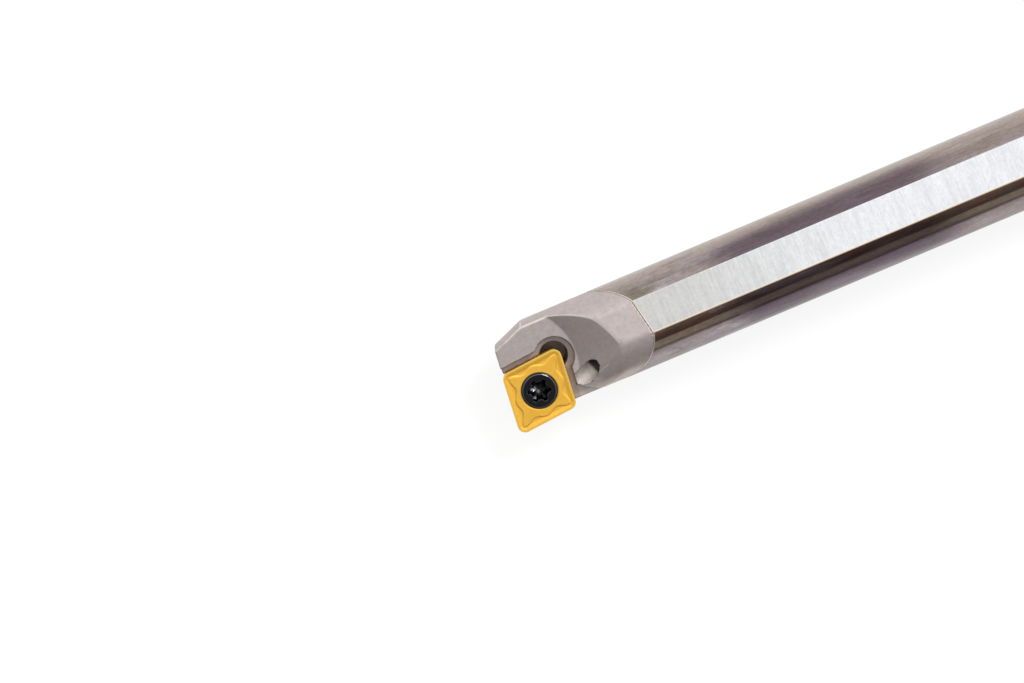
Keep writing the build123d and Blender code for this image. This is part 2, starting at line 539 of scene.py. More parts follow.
def smudge_group(clean_level: float = 0.85, feather: float = 0.16) -> bpy.types.NodeTree:
    """Soft patches: Mask is 0 on clean metal and 1 where it is stained, over about Share of the surface.

    Args:
        clean_level: noise up to which the metal is clean where Share is 0.
        feather: noise over which a patch fades in.

    Returns:
        The group's tree.
    """
    graph, start = new_group(SurfaceGroup.SMUDGE, {"Size": 3.0, "Share": 0.4}, ("Mask",))
    scale = graph.math("DIVIDE", 1.0, start["Size"])
    patches = graph.noise(start["Position"], scale, 5.0, 0.6)
    level = graph.product(graph.math("SUBTRACT", 1.0, start["Share"]), clean_level)
    mask = graph.span(graph.math("SUBTRACT", patches, level), 0.0, feather)
    graph.add("NodeGroupOutput", None, Mask=mask)
    return graph.tree


GROUP_BUILDERS = {
    SurfaceGroup.GRAIN: grain_group,
    SurfaceGroup.LINES: lines_group,
    SurfaceGroup.SMUDGE: smudge_group,
}


@dataclass(frozen=True)
class Noise:
    """Noise over a surface, with each axis stretched by its own share.

    Its levels, where it has them, are two values of the noise and what they are mapped to.
    """

    stretch: Triple
    scale: float
    detail: float
    rough: float = 0.5
    levels: Optional[Levels] = None

    def lay(self, graph: Graph) -> Socket:
        """The noise's value, mapped by its levels."""
        value = graph.noise(graph.millimetres(self.stretch), self.scale, self.detail, self.rough)
        return graph.span(value, *self.levels) if self.levels else value


@dataclass(frozen=True)
class Smudge:
    """Smudges over a surface, with each axis stretched by its own share."""

    stretch: Triple
    size: float
    share: float

    def lay(self, graph: Graph) -> Socket:
        """The smudges' mask."""
        here = graph.millimetres(self.stretch)
        return SurfaceGroup.SMUDGE.place(graph, Position=here, Size=self.size, Share=self.share)["Mask"]


@dataclass(frozen=True)
class Grain:
    """Pitted grain of a surface."""

    size: float
    strength: float
    depth: float

    def lay(self, graph: Graph) -> tuple[Socket, Socket]:
        """The grain's tone and the normal that it gives."""
        grain = SurfaceGroup.GRAIN.place(graph, Position=graph.millimetres(), Size=self.size)
        return grain["Tone"], bump(graph, grain["Height"], self.strength, self.depth)


def new_material(name: str) -> tuple[bpy.types.Material, Graph]:
    """Empty node material.

    Args:
        name: name of the material.

    Returns:
        The material and its graph.
    """
    material = bpy.data.materials.new(name)
    material.use_nodes = True
    return material, Graph(material.node_tree)


def metal_shader(graph: Graph, colour: Value, roughness: Value, metallic: Value, **inputs: Value) -> None:
    """Principled shader wired to the material's output.

    Args:
        graph: graph of the material.
        colour: base colour.
        roughness: roughness.
        metallic: share of metal.
        inputs: more sockets of the shader.
    """
    inputs |= {"Base_Color": colour, "Roughness": roughness, "Metallic": metallic}
    shader = graph.add("ShaderNodeBsdfPrincipled", None, **inputs)
    graph.add("ShaderNodeOutputMaterial", None, Surface=shader.outputs[0])


def bump(graph: Graph, height: Socket, strength: float, depth: float) -> Socket:
    """Normal from a height, for a depth in millimetres."""
    return graph.add("ShaderNodeBump", None, Strength=strength, Distance=depth * MM, Height=height).outputs[0]


# ---------------------------------------------------------------- finishes


@dataclass(frozen=True)
class GroundCarbide:
    """Ground shank: bright flats with cross lines, round sides with heat colours and painted reflection bands
    lengthwise.

    A band is a place round the side: 0 on the flats' middle line and 1 halfway between the flats.
    A pair says where a change starts and ends, and a window where a mask starts, is full, stays full and ends.
    """

    bright_near: Colour = (0.625, 0.62, 0.605)
    bright_far: Colour = (0.80, 0.815, 0.84)
    bright_change: Pair = (110.0, 137.0)
    # painted highlight: a thin golden line along the flat's edge on the cutting side
    flat_edge_highlight: Colour = (1.0, 0.86, 0.64)
    flat_highlight_at: Pair = (1.735, 1.785)
    flat_margins: Pair = (0.05, 0.03)
    ground_end: Pair = (0.56, 0.62)
    # The side ramps are partly heat colour and partly painted reflection and shade: the dark and bright bands
    # follow the angle round the bar.
    cutting_side_tint_and_reflection: Stops = (
        (0.40, (0.235, 0.14, 0.105)),
        (0.565, (0.20, 0.118, 0.092)),
        (0.60, (0.77, 0.58, 0.44)),
        (0.655, (0.69, 0.53, 0.40)),
        (0.725, (0.125, 0.086, 0.076)),
        (0.775, (0.33, 0.27, 0.275)),
        (0.90, (0.34, 0.28, 0.285)),
        (1.0, (0.19, 0.155, 0.163)),
    )
    back_side_tint_and_reflection: Stops = (
        (0.40, (0.355, 0.30, 0.295)),
        (0.55, (0.345, 0.28, 0.26)),
        (0.72, (0.39, 0.322, 0.295)),
        (0.80, (0.375, 0.308, 0.283)),
        (1.0, (0.445, 0.385, 0.335)),
    )
    side_change: float = 0.5
    streaks: Noise = Noise((0.05, 1.0, 1.0), 1.6, 5.0, 0.6)
    streak_shift: float = 0.05
    smoked: Colour = (0.46, 0.42, 0.50)
    smoke_along: Window = (101.0, 107.0, 125.5, 130.5)
    smoke_bands: Pair = (0.6, 0.9)
    smoke_offset: float = 0.19
    drift: Noise = Noise((0.05, 0.2, 0.2), 1.0, 2.0, levels=(0.3, 0.7, -0.1, 0.1))
    olive: Colour = (0.22, 0.185, 0.13)
    patches: Smudge = Smudge((0.3, 1.0, 1.0), 2.2, 0.40)
    patch_share: float = 0.35
    violet: Colour = (0.26, 0.23, 0.29)
    haze: Smudge = Smudge((0.14, 0.8, 0.9), 1.6, 0.40)
    haze_share: float = 0.24
    stain_along: Window = (133.8, 134.9, 136.6, 137.6)
    stain_bands: Window = (0.36, 0.40, 0.61, 0.68)
    stain_share: float = 0.8
    dried: Colour = (0.55, 0.52, 0.52)
    dried_along: Window = (124.0, 130.5, 134.6, 138.0)
    dried_line: Triple = (0.006, 0.03, 0.55)
    dried_haze: Levels = (0.0, 0.6, 0.35, 1.0)
    swirl: Noise = Noise((0.8, 0.8, 0.8), 0.3, 2.5, 0.55)
    pale: Colour = (0.50, 0.46, 0.50)
    smear: Smudge = Smudge((0.35, 1.0, 1.2), 1.1, 0.42)
    smear_share: float = 0.4
    fine: Noise = Noise((0.03, 1.0, 1.0), 7.0, 2.0, 0.7, (0.25, 0.75, 0.84, 1.14))
    speckle: Noise = Noise((0.5, 1.0, 1.0), 4.0, 4.0, 0.65, (0.3, 0.7, 0.88, 1.11))
    flat_speckle: Noise = Noise((1.0, 1.0, 1.0), 3.5, 3.0, 0.65, (0.3, 0.7, 0.95, 1.04))
    line_levels: Levels = (0.3, 0.7, 0.87, 1.08)
    line_pitch: float = 0.055
    line_reach: float = 0.6
    line_strength: float = 0.25
    line_depth: float = 0.003
    flat_roughness: float = 0.34
    round_roughness: float = 0.3

    def band(self, graph: Graph, across: Socket, up: Socket) -> Socket:
        """Band of a point, which wanders a little along the bar.

        Args:
            graph: graph of the material.
            across: Y in millimetres.
            up: Z in millimetres.

        Returns:
            The band.
        """
        shift = graph.product(graph.math("SUBTRACT", self.streaks.lay(graph), 0.5), self.streak_shift)
        from_axis = graph.math("SQRT", graph.math("ADD", graph.product(across, across), graph.product(up, up)))
        aside = graph.math("DIVIDE", graph.math("ABSOLUTE", across), graph.math("MAXIMUM", from_axis, 0.1))
        return graph.math("ADD", aside, shift)

    def heat_tint_and_reflection(self, graph: Graph, along: Socket, across: Socket, band: Socket) -> Socket:
        """Heat colours and painted reflection bands of the two sides, smoked over a stretch of the bar.

        Args:
            graph: graph of the material.
            along: X in millimetres.
            across: Y in millimetres.
            band: band round the side.

        Returns:
            The colour.
        """
        cutting = graph.span(across, -self.side_change, self.side_change)
        # painted reflection bands: colour by angle round the bar, mixed with the heat colours
        tint = graph.mix(cutting, graph.ramp(band, self.back_side_tint_and_reflection), graph.ramp(band, self.cutting_side_tint_and_reflection))
        place = graph.math("SUBTRACT", band, graph.product(cutting, self.smoke_offset))
        smoke = graph.fade(graph.math("ADD", place, self.drift.lay(graph)), *self.smoke_bands)
        return graph.tinted(graph.product(smoke, graph.window(along, self.smoke_along)), tint, self.smoked)

    def round_tint(self, graph: Graph, along: Socket, across: Socket, up: Socket) -> Socket:
        """Heat colours and painted reflection bands of the round sides, with their stains, dried marks and
        speckle.

        Args:
            graph: graph of the material.
            along: X in millimetres.
            across: Y in millimetres.
            up: Z in millimetres.

        Returns:
            The colour.
        """
        band = self.band(graph, across, up)
        tint = self.heat_tint_and_reflection(graph, along, across, band)
        tint = graph.mix(graph.product(self.patches.lay(graph), self.patch_share), tint, self.olive)
        haze = self.haze.lay(graph)
        tint = graph.mix(graph.product(haze, self.haze_share), tint, self.violet)
        stain = graph.product(graph.window(along, self.stain_along), graph.window(band, self.stain_bands))
        stain = graph.product(stain, graph.fade(across, -self.side_change, 0.0, self.stain_share))
        tint = graph.mix(stain, tint, self.olive)
        dried = graph.window(along, self.dried_along)
        outline = graph.math("ABSOLUTE", graph.math("SUBTRACT", self.swirl.lay(graph), 0.5))
        marks = graph.product(graph.fade(outline, *self.dried_line), dried, graph.span(haze, *self.dried_haze))
        tint = graph.tinted(marks, tint, self.dried)
        tint = graph.mix(graph.product(self.smear.lay(graph), self.smear_share, dried), tint, self.pale)
        return graph.shaded(tint, graph.product(self.fine.lay(graph), self.speckle.lay(graph)))

    def flat_tint(self, graph: Graph, along: Socket, across: Socket, lines: Socket) -> Socket:
        """Colour of the ground flats, with a painted highlight along the edge on the cutting side.

        Args:
            graph: graph of the material.
            along: X in millimetres.
            across: Y in millimetres.
            lines: tone of the grinding lines.

        Returns:
            The colour.
        """
        face = graph.mix(graph.span(along, *self.bright_change), self.bright_far, self.bright_near)
        shade = graph.product(graph.span(lines, *self.line_levels), self.flat_speckle.lay(graph))
        face = graph.shaded(face, shade)
        # painted highlight along the flat's edge
        return graph.mix(graph.span(across, *self.flat_highlight_at), face, self.flat_edge_highlight)

    def material(self) -> bpy.types.Material:
        """Build the material.

        Returns:
            The material.
        """
        material, graph = new_material("ground_carbide")
        here = graph.millimetres()
        along, across, up = graph.split(here)
        lines = SurfaceGroup.LINES.place(graph, Position=here, Pitch=self.line_pitch, Reach=self.line_reach)
        low, high = (BAR.flat_half - margin for margin in self.flat_margins)
        on_flat = graph.span(graph.math("ABSOLUTE", up), low, high)
        face = self.flat_tint(graph, along, across, lines["Tone"])
        colour = graph.mix(on_flat, self.round_tint(graph, along, across, up), face)
        colour = graph.mix(graph.fade(along, *self.ground_end), colour, self.bright_near)
        roughness = graph.span(on_flat, 0.0, 1.0, self.round_roughness, self.flat_roughness)
        normal = bump(graph, lines["Height"], self.line_strength, self.line_depth)
        metal_shader(graph, colour, roughness, 1.0, Normal=normal)
        return material


@dataclass(frozen=True)
class Matte:
    """Base of the matte finishes, whose tone and roughness follow their grain and smudges."""

    grain: Grain
    patches: Smudge
    patch_tone: float
    tone_levels: Pair
    roughness: float
    metallic: float

    def lay(self, graph: Graph, dark: Colour, light: Colour) -> tuple[Socket, dict[str, Value]]:
        """Body colour and the rest of the surface.

        Args:
            graph: graph of the material.
            dark: colour of the darkest tone.
            light: colour of the lightest tone.

        Returns:
            The colour, and the shader's other inputs by name.
        """
        grain, normal = self.grain.lay(graph)
        tone = graph.math("SUBTRACT", grain, graph.product(self.patches.lay(graph), self.patch_tone))
        roughness = graph.span(tone, 0.3, 0.7, self.roughness + 0.05, self.roughness - 0.05)
        body = graph.mix(graph.span(tone, *self.tone_levels), dark, light)
        return body, {"roughness": roughness, "metallic": self.metallic, "Normal": normal}


@dataclass(frozen=True)
class BlastedSteel:
    """Matte warm grey steel with a fine even grain; its edges are paler by wear and painted highlight, its hollows
    and cutting side darker by painted shade.
    """

    light: Colour = (0.548, 0.482, 0.474)
    dark: Colour = (0.457, 0.394, 0.386)
    # pale colour of worn edges and of painted highlights
    pale_wear_and_highlight: Colour = (0.70, 0.64, 0.57)
    # paler band towards the cutting side, at Y 4.0 to 4.5
    pale_side: Pair = (4.0, 4.5)
    pale_side_share: float = 0.7
    # colour of the painted shade in the pocket's hollows, along its lip and in the outlet
    painted_shade_colour: Colour = (0.085, 0.065, 0.06)
    # painted shade: the rear of the head darker towards its cutting side
    lower_side_shade: Colour = (0.76, 0.73, 0.71)
    shade_side: Pair = (2.3, 3.8)
    shade_end: Pair = (142.2, 143.4)
    matte: Matte = Matte(
        grain=Grain(0.09, 0.5, 0.01),
        patches=Smudge((1.0, 1.0, 1.0), 2.2, 0.4),
        patch_tone=0.04,
        tone_levels=(0.3, 0.65),
        roughness=0.58,
        metallic=0.75,
    )
    wear_and_highlight: str = "wear_and_highlight"
    painted_shade: str = "painted_shade"

    def material(self) -> bpy.types.Material:
        """Build the material.

        Returns:
            The material.
        """
        material, graph = new_material("blasted_steel")
        along, across, _ = graph.split(graph.millimetres())
        body, surface = self.matte.lay(graph, self.dark, self.light)
        # painted shade: darker over the rear of the head towards its cutting side
        side = graph.product(graph.span(across, *self.shade_side), graph.fade(along, *self.shade_end))
        body = graph.tinted(side, body, self.lower_side_shade)
        # paler band along the cutting side at Y 4.0 to 4.5
        paled = graph.span(across, *self.pale_side, 0.0, self.pale_side_share)
        body = graph.mix(paled, body, self.pale_wear_and_highlight)
        # edges paled partly by wear and partly by painted highlight, with painted glints in the outlet
        body = graph.mix(graph.painted(self.wear_and_highlight), body, self.pale_wear_and_highlight)
        # painted shade: darkened towards the shade colour where shadow falls in the pocket and the outlet
        metal_shader(graph, graph.mix(graph.painted(self.painted_shade), body, self.painted_shade_colour), **surface)
        return material


@dataclass(frozen=True)
class GoldCoating:
    """Golden coating, with a painted highlight along the honed edge."""

    gold: Colour = (0.93, 0.54, 0.065)
    deep: Colour = (0.84, 0.45, 0.045)
    # colour of the painted highlight along the honed edge
    pale: Colour = (0.97, 0.64, 0.14)
    matte: Matte = Matte(
        grain=Grain(0.07, 0.35, 0.004),
        patches=Smudge((1.0, 1.0, 1.0), 1.3, 0.45),
        patch_tone=0.08,
        tone_levels=(0.25, 0.65),
        roughness=0.5,
        metallic=0.45,
    )
    rim: str = "rim"

    def material(self) -> bpy.types.Material:
        """Build the material.

        Returns:
            The material.
        """
        material, graph = new_material("gold_coating")
        body, surface = self.matte.lay(graph, self.deep, self.gold)
        # painted highlight along the honed edge
        metal_shader(graph, graph.mix(graph.painted(self.rim), body, self.pale), **surface)
        return material


@dataclass(frozen=True)
class BlackOxide:
    """Glossy black screw, bare metal on its worn crest and lobe edges, partly painted highlight, with painted
    highlight spots in its recess.
    """

    black: Colour = (0.002, 0.002, 0.003)
    worn: Colour = (0.009, 0.007, 0.011)
    worn_share: float = 0.5
    # pale violet of bare metal and of the painted highlights
    bare_and_highlight: Colour = (0.66, 0.64, 0.74)
    bare_metal: float = 3.0
    grain: Grain = Grain(0.12, 0.3, 0.006)
    patches: Smudge = Smudge((1.0, 1.0, 1.0), 0.8, 0.35)
    roughness: float = 0.12
    specular: float = 0.2
    wear_and_highlight: str = "wear_and_highlight"

    def material(self) -> bpy.types.Material:
        """Build the material.

        Returns:
            The material.
        """
        material, graph = new_material("black_oxide")
        grain, normal = self.grain.lay(graph)
        black = graph.mix(graph.product(self.patches.lay(graph), self.worn_share), self.black, self.worn)
        wear_and_highlight = graph.painted(self.wear_and_highlight)
        colour = graph.mix(wear_and_highlight, black, self.bare_and_highlight)
        roughness = graph.span(grain, 0.2, 0.8, self.roughness - 0.05, self.roughness + 0.1)
        metal = graph.math("MINIMUM", graph.product(wear_and_highlight, self.bare_metal), 1.0)
        metal_shader(graph, colour, roughness, metal, Normal=normal, Specular_IOR_Level=self.specular)
        return material


@dataclass(frozen=True)
class BrazeMetal:
    """Pale brassy filler in the joint."""

    bright: Colour = (0.80, 0.74, 0.66)
    dull: Colour = (0.64, 0.58, 0.50)
    grain: Grain = Grain(0.15, 0.3, 0.006)
    roughness: float = 0.4
    metallic: float = 0.9

    def material(self) -> bpy.types.Material:
        """Build the material.

        Returns:
            The material.
        """
        material, graph = new_material("braze_metal")
        grain, normal = self.grain.lay(graph)
        colour = graph.mix(graph.span(grain, 0.35, 0.65), self.dull, self.bright)
        metal_shader(graph, colour, self.roughness, self.metallic, Normal=normal)
        return material


# ---------------------------------------------------------------- pieces


@dataclass
class Shank:
    """Round bar with two clamping flats, a coolant bore and a roof-shaped front end."""

    chamfer: float = 0.6
    chamfer_depths: tuple[float, ...] = (0.04, 0.12, 0.24, 0.36, 0.48, 0.56)
    chamfer_margin: float = 0.01
    body_start: float = 0.04
    ridge_setback: float = 11.6
    roof_roll: float = math.radians(11.4)
    roof_shares: tuple[float, ...] = (0.35, 0.7, 1.0)
    edge_blend: float = 0.004
    edge_break: float = 0.06
    stations: int = 24
    degrees_per_step: float = 3.0
    edge_reach: float = 1.2
    edge_steps: int = 13
    finish: GroundCarbide = GroundCarbide()

    def angles(self) -> np.ndarray:
        """Directions round the axis, closer together at the edges of the flats and on the roof's ridge.

        Returns:
            The directions, in radians.
        """
        even = np.arange(0, 360, self.degrees_per_step)
        edge = math.degrees(math.acos(BAR.flat_half / BAR.radius))
        near = np.linspace(-self.edge_reach, self.edge_reach, self.edge_steps)
        edges = [base + side * edge + near for base in (90, 270) for side in (-1, 1)]
        roll = math.degrees(self.roof_roll)
        merged = np.unique(np.round(np.concatenate([even, *edges, [360 - roll, 180 - roll]]), 3))
        return np.radians(merged)

    def outline(self, angles: np.ndarray) -> np.ndarray:
        """Radius of the flatted section in each direction, with its edges barely rounded."""
        flat = BAR.flat_half / np.maximum(np.abs(np.sin(angles)), 0.2)
        return smooth_min([np.full_like(angles, BAR.radius), flat], self.edge_blend)

    def roof(self, angles: np.ndarray, radius: np.ndarray) -> np.ndarray:
        """X of the roof-shaped front end at that radius in each direction."""
        return BAR.length - self.ridge_setback - np.abs(radius * np.sin(angles + self.roof_roll))

    def build(self) -> None:
        """Build the shank, dressed and settled."""
        angles = self.angles()
        outer, bore = self.outline(angles), BAR.bore_radius
        rear_radius, start = BAR.radius - self.chamfer, self.chamfer + self.body_start
        rows = [(bore, self.edge_break), (bore + self.edge_break, 0.0), (rear_radius - self.edge_break, 0.0)]
        for depth in self.chamfer_depths:
            rows.append((np.minimum(outer, rear_radius + depth - self.chamfer_margin), depth))
        front = self.roof(angles, outer)
        rows += [(outer, start + share * (front - start)) for share in np.linspace(0, 1, self.stations)]
        for share in self.roof_shares:
            radius = outer + share * (bore - outer)
            rows.append((radius, self.roof(angles, radius)))
        rows.append((bore, BAR.length / 2))
        rings = np.roll(lathe(rows, angles), 1, axis=2)
        settle(ring_mesh("carbide_shank", rings, Ends.JOINED), Slot.SHANK, self.finish.material())


class Edge(Enum):
    """Kinds of edge on the head, each with the width in millimetres to which it is worn round."""

    FLAT = 0.3
    LAND = 0.17
    SIDE = 0.26
    RIM = 0.14
    PLAIN = 0.07
    LIP = 0.04
    CRISP = 0.0


@dataclass
class Head:
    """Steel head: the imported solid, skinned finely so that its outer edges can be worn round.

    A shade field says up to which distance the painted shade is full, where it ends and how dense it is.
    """

    voxel: float = 0.09
    weld: float = 2e-3
    least_angle: float = math.radians(14)
    sharp_angle: float = math.radians(35)
    outside_radius: float = 4.2
    joint_facing: float = -0.5
    along_limit: float = 0.1
    flat_margin: float = 0.02
    rake_match: float = 0.9995
    rim_level: float = 1.5
    rim_facing: float = 0.25
    rim_end: float = 1.3
    wall_match: float = 0.05
    lip_depth: float = 1.0
    lip_end: float = 151.8
    pull: float = 0.5
    pull_widths: Pair = (0.6, 1.4)
    crisp_margin: float = 0.1
    shading_margins: Pair = (0.06, 0.2)
    wear_and_highlight_start: float = 0.35
    ledge_drop: float = 0.8
    ledge_width: float = 0.6
    relief_centre: float = -3.76
    relief_radius: float = 1.44
    outlet_mouth: Triple = (-8.67, -3.35, 0.54)
    outlet_way: Triple = (-0.936, -0.341, -0.087)
    outlet_radius: float = 0.92
    outlet_feather: Pair = (0.02, 0.08)
    throat: Pair = (0.55, 0.85)
    # painted shade fields: where shadow falls along the lip, in the relief, the outlet, beside the insert and on
    # the ledge
    lip_shade: Triple = (0.04, 0.11, 0.9)
    relief_shade: Triple = (0.02, 0.1, 0.7)
    slot_shade: Triple = (0.03, 0.1, 0.65)
    slot_top: float = 0.3
    insert_shade: Triple = (0.05, 0.14, 0.6)
    seat_levels: Pair = (-1.0, -0.85)
    ledge_shade: Triple = (0.04, 0.1, 0.25)
    ledge_feather: Pair = (-0.02, 0.06)
    glint_seed: int = 7
    glint: Pair = (0.1, 1.0)
    finish: BlastedSteel = BlastedSteel()

    def edge_kind(self, edge: bmesh.types.BMEdge) -> Optional[Edge]:
        """Kind of an edge.

        Args:
            edge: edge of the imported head, in millimetres.

        Returns:
            Its kind, or None where two facets of one smooth surface meet.
        """
        if len(edge.link_faces) != 2 or edge.calc_face_angle() < self.least_angle:
            return None
        forward = [face.normal.x for face in edge.link_faces]
        if not edge.is_convex or min(forward) < self.joint_facing:
            return Edge.CRISP
        middle = (edge.verts[0].co + edge.verts[1].co) / 2
        if max(map(abs, forward)) < self.along_limit and abs(middle.z) > BAR.flat_half - self.flat_margin:
            return Edge.FLAT
        rake_up = Vector((0, math.sin(BAR.rake), math.cos(BAR.rake)))
        upward = [face.normal.dot(rake_up) for face in edge.link_faces]
        outside = math.hypot(middle.y, middle.z) > self.outside_radius
        if outside and max(upward) > self.rake_match:
            return Edge.LAND
        if outside and middle.z > self.rim_level and max(forward) > self.rim_facing:
            return Edge.RIM if middle.y < self.rim_end else Edge.SIDE
        if outside:
            return Edge.CRISP if edge.calc_face_angle() < self.sharp_angle else Edge.PLAIN
        rise = (middle - Vector((BAR.length, BAR.tip_offset, 0))).dot(rake_up)
        beside_wall = min(map(abs, upward)) < self.wall_match
        return Edge.LIP if beside_wall and rise > -self.lip_depth and middle.x < self.lip_end else Edge.PLAIN

    def edge_gaps(self, packed: bpy.types.Mesh, spots: np.ndarray) -> dict[Edge, np.ndarray]:
        """Distance of spots from the nearest edge of each kind.

        Args:
            packed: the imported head's mesh, in millimetres.
            spots: points on the skin.

        Returns:
            One array of distances for each kind.
        """
        work = bmesh.new()
        work.from_mesh(packed)
        bmesh.ops.remove_doubles(work, verts=work.verts, dist=self.weld)
        bmesh.ops.recalc_face_normals(work, faces=work.faces)
        gaps = {kind: np.full(len(spots), 9.0) for kind in Edge}
        for edge in work.edges:
            kind = self.edge_kind(edge)
            if kind is None:
                continue
            start = np.array(edge.verts[0].co)
            along = np.array(edge.verts[1].co) - start
            share = np.clip((spots - start) @ along / (along @ along), 0, 1)
            gap = np.linalg.norm(spots - start - share[:, None] * along, axis=1)
            gaps[kind] = np.minimum(gaps[kind], gap)
        work.free()
        return gaps

    def wear_edges(self, skin: bpy.types.Mesh, spots: np.ndarray, gaps: dict[Edge, np.ndarray]) -> np.ndarray:
        """Spots after the skin has been drawn in along its outer edges.

        Args:
            skin: the fine skin, for which spots are joined.
            spots: its points.
            gaps: their distances from each kind of edge.

        Returns:
            The new points.
        """
        joins = np.empty(len(skin.edges) * 2, dtype=np.int64)
        skin.edges.foreach_get("vertices", joins)
        first, second = joins[::2], joins[1::2]
        ends, others = np.concatenate([first, second]), np.concatenate([second, first])
        count = np.bincount(ends, minlength=len(spots))[:, None]
        worn = spots.copy()
        low, high = self.pull_widths
        for kind in (Edge.FLAT, Edge.SIDE, Edge.LAND, Edge.RIM, Edge.PLAIN, Edge.LIP):
            width = kind.value
            share = self.pull * fade_out(gaps[kind], width * low, width * high)[:, None]
            share *= smooth_step(gaps[Edge.CRISP], self.crisp_margin, self.crisp_margin + width)[:, None]
            for _ in range(round((width / self.voxel) ** 2 * 2) + 1):
                mean = np.stack([np.bincount(ends, worn[others, axis], len(spots)) for axis in range(3)], axis=1)
                worn += share * (mean / count - worn)
        return worn

    def smooth_normals(self, packed: bpy.types.Mesh, spots: np.ndarray) -> np.ndarray:
        """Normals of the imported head's true surfaces at the spots nearest to it.

        Args:
            packed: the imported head's mesh, in millimetres, with its own corner normals.
            spots: points on the skin.

        Returns:
            One unit normal for each spot.
        """
        packed.calc_loop_triangles()
        corners = np.array([triangle.loops for triangle in packed.loop_triangles])
        triangles = np.array([triangle.vertices for triangle in packed.loop_triangles])
        points, normals = triples(packed.vertices, "co"), triples(packed.corner_normals, "vector")
        tree = BVHTree.FromPolygons(points.tolist(), triangles.tolist())
        found = [tree.find_nearest(Vector(spot)) for spot in spots]
        nearest = np.array([hit[0] for hit in found])
        index = np.array([hit[2] for hit in found])
        base, one, two = (points[triangles[index, corner]] for corner in range(3))
        side, other, reach = one - base, two - base, nearest - base
        pairs = ((side, side), (side, other), (other, other))
        dots = [np.einsum("ij,ij->i", left, right) for left, right in pairs]
        toward = [np.einsum("ij,ij->i", reach, way) for way in (side, other)]
        area = np.maximum(dots[0] * dots[2] - dots[1] ** 2, 1e-12)
        share_one = np.clip((dots[2] * toward[0] - dots[1] * toward[1]) / area, 0, 1)
        share_two = np.clip((dots[0] * toward[1] - dots[1] * toward[0]) / area, 0, 1)
        shares = (np.maximum(1 - share_one - share_two, 0), share_one, share_two)
        blend = sum(share[:, None] * normals[corners[index, corner]] for corner, share in enumerate(shares))
        return blend / np.linalg.norm(blend, axis=1, keepdims=True)

    def in_outlet(self, spots: np.ndarray) -> tuple[np.ndarray, np.ndarray]:
        """Place of spots in the coolant outlet.

        Args:
            spots: points on the skin.

        Returns:
            Their depths along the outlet, and whether they lie in it, from 0 to 1.
        """
        tilt = np.array(Matrix.Rotation(-BAR.rake, 3, "X"))
        raked = (spots - np.array([BAR.length, BAR.tip_offset, 0])) @ tilt - np.array(self.outlet_mouth)
        depth = raked @ np.array(self.outlet_way)
        off_axis = np.linalg.norm(raked - depth[:, None] * np.array(self.outlet_way), axis=1)
        return depth, fade_out(off_axis - self.outlet_radius, *self.outlet_feather)

    def painted_shade(self, spots: np.ndarray, gaps: dict[Edge, np.ndarray]) -> np.ndarray:
        """Share of painted shade along the pocket's lip and ledge, in its corner relief and in the outlet, where
        shadow falls.

        Args:
            spots: points on the skin.
            gaps: their distances from each kind of edge.

        Returns:
            One share for each spot.
        """
        to_insert = np.array(BAR.insert_place().inverted())
        seated = spots @ to_insert[:3, :3].T + to_insert[:3, 3]
        level = seated[:, 2]
        off_insert = -BAR.inside_insert(seated[:, :2])
        off_relief = np.hypot(seated[:, 0] - self.relief_centre, seated[:, 1]) - self.relief_radius
        off_ledge = np.minimum(off_insert, off_relief) - self.ledge_width
        off_edges = np.minimum.reduce([gaps[kind] for kind in Edge])
        depth, inside = self.in_outlet(spots)
        off_level = np.abs(level + self.ledge_drop)
        below_ledge = smooth_step(-level, self.ledge_drop, self.ledge_drop + 0.15)
        # painted shade: each mask darkens a lip, hollow or ledge where shadow falls
        masks = [
            fade_out(gaps[Edge.LIP], *self.lip_shade),
            fade_out(off_relief, *self.relief_shade) * below_ledge,
            smooth_step(depth, *self.throat) * inside,
            fade_out(off_edges, *self.slot_shade) * inside * (level < self.slot_top),
            fade_out(off_insert, *self.insert_shade) * smooth_step(level, *self.seat_levels),
            fade_out(off_level, *self.ledge_shade) * fade_out(off_ledge, *self.ledge_feather),
        ]
        return np.maximum.reduce(masks)

    def fine_skin(self, packed: bpy.types.Mesh) -> bpy.types.Mesh:
        """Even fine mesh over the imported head.

        Args:
            packed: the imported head's mesh, in millimetres.

        Returns:
            The skin, in millimetres.
        """
        blank = carrier("head_blank", packed.copy())
        blank.modifiers.new("merged", "WELD").merge_threshold = self.weld
        skinning = blank.modifiers.new("fine_skin", "REMESH")
        skinning.mode = "VOXEL"
        skinning.voxel_size = self.voxel
        skin = baked(blank)
        skin.name = "steel_head"
        return skin

    def shade(self, skin: bpy.types.Mesh, gaps: dict[Edge, np.ndarray], true_normals: np.ndarray) -> None:
        """Shade the skin by itself along its edges and by the true surfaces elsewhere.

        Args:
            skin: the worn skin.
            gaps: distances of its points from each kind of edge.
            true_normals: normals of the true surfaces at its points.
        """
        skin.polygons.foreach_set("use_smooth", [True] * len(skin.polygons))
        clear = np.minimum.reduce([gaps[kind] - kind.value for kind in Edge])
        share = smooth_step(clear, *self.shading_margins)[:, None]
        normals = triples(skin.vertex_normals, "vector") * (1 - share) + true_normals * share
        normals /= np.linalg.norm(normals, axis=1, keepdims=True)
        skin.normals_split_custom_set_from_vertices(normals.tolist())

